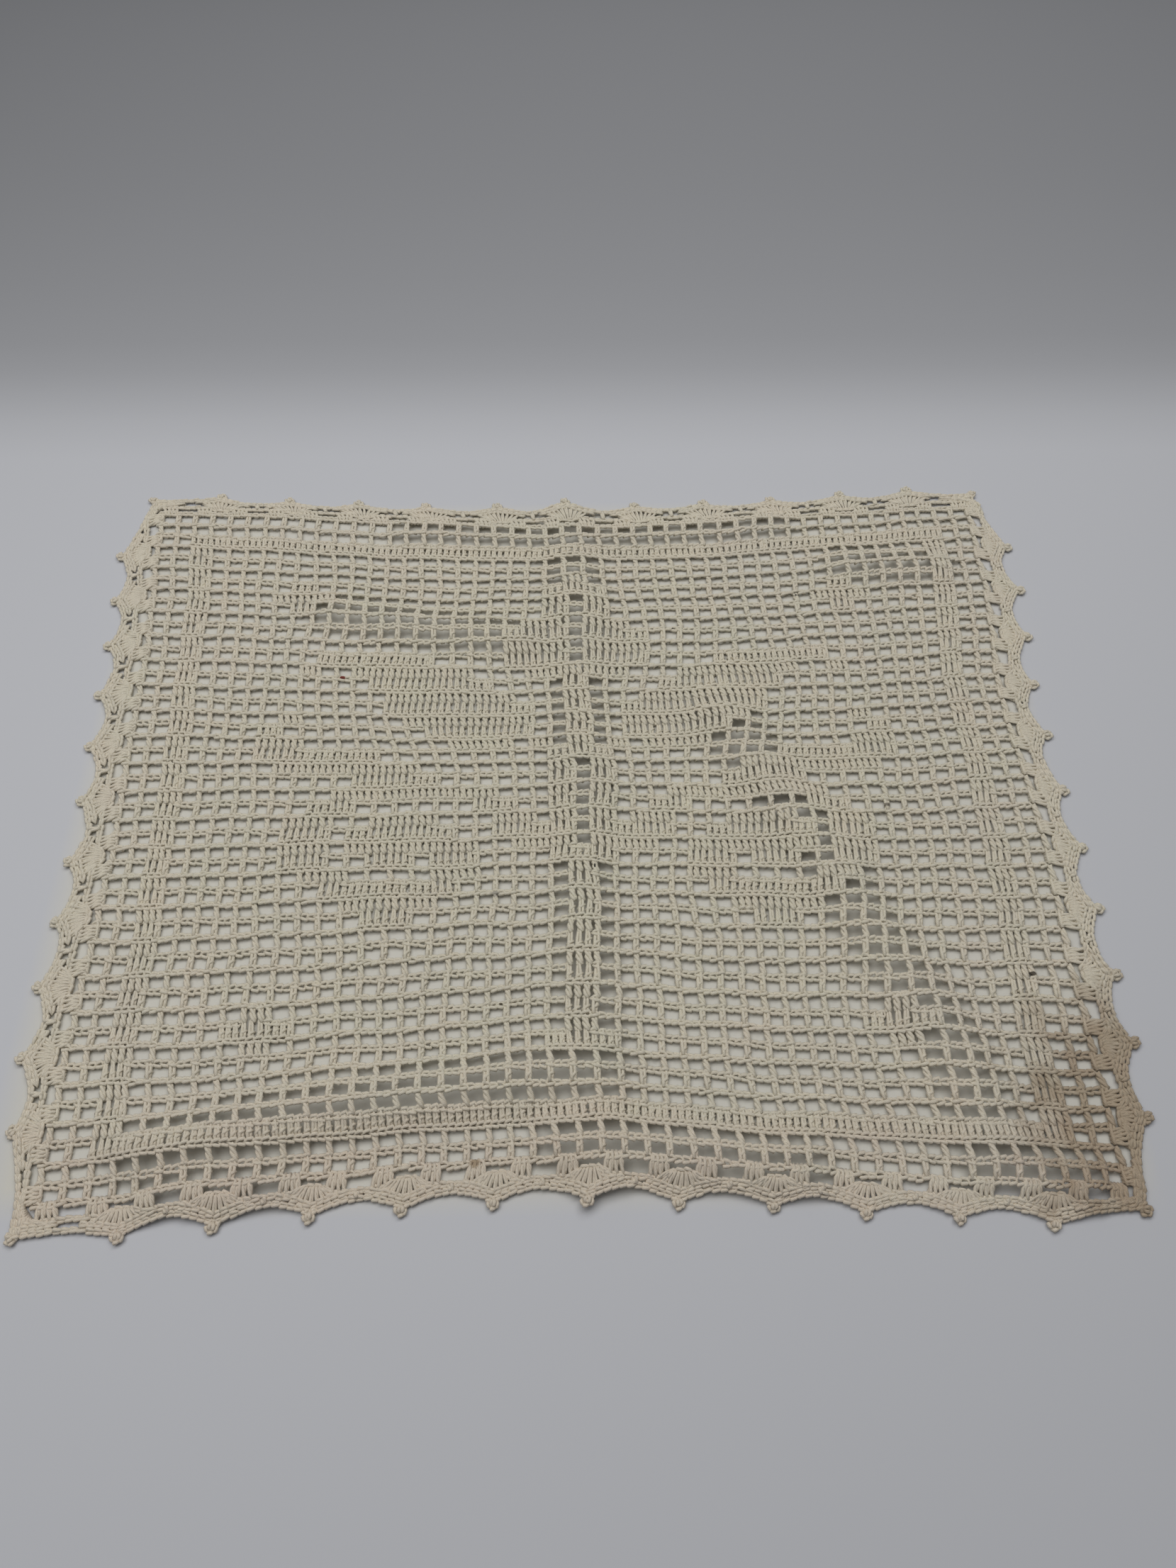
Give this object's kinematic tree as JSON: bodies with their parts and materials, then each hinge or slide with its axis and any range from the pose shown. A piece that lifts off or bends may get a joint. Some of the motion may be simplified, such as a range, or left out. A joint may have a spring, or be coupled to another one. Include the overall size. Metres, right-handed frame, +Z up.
{
  "type": "rectangular filet crochet lace doily",
  "caption": "Rectangular lace doily in filet crochet: an open net with a flower in filled cells, a solid band, and a shell edging with picots. It lies flat under what stands on it.",
  "frame": {"origin": "centre of the bounding box, at the underside that rests on the table", "axes": "+X along the longer side, +Y towards the flower's bud, +Z up out of the table"},
  "size_m": [0.4388, 0.3564, 0.0077],
  "materials": {
    "ecru_cotton": "matt unbleached crochet cotton with a soft twist, a little greyer at one corner"
  },
  "bodies": {
    "root": {"lace_doily": "ecru_cotton"}
  },
  "joints": []
}
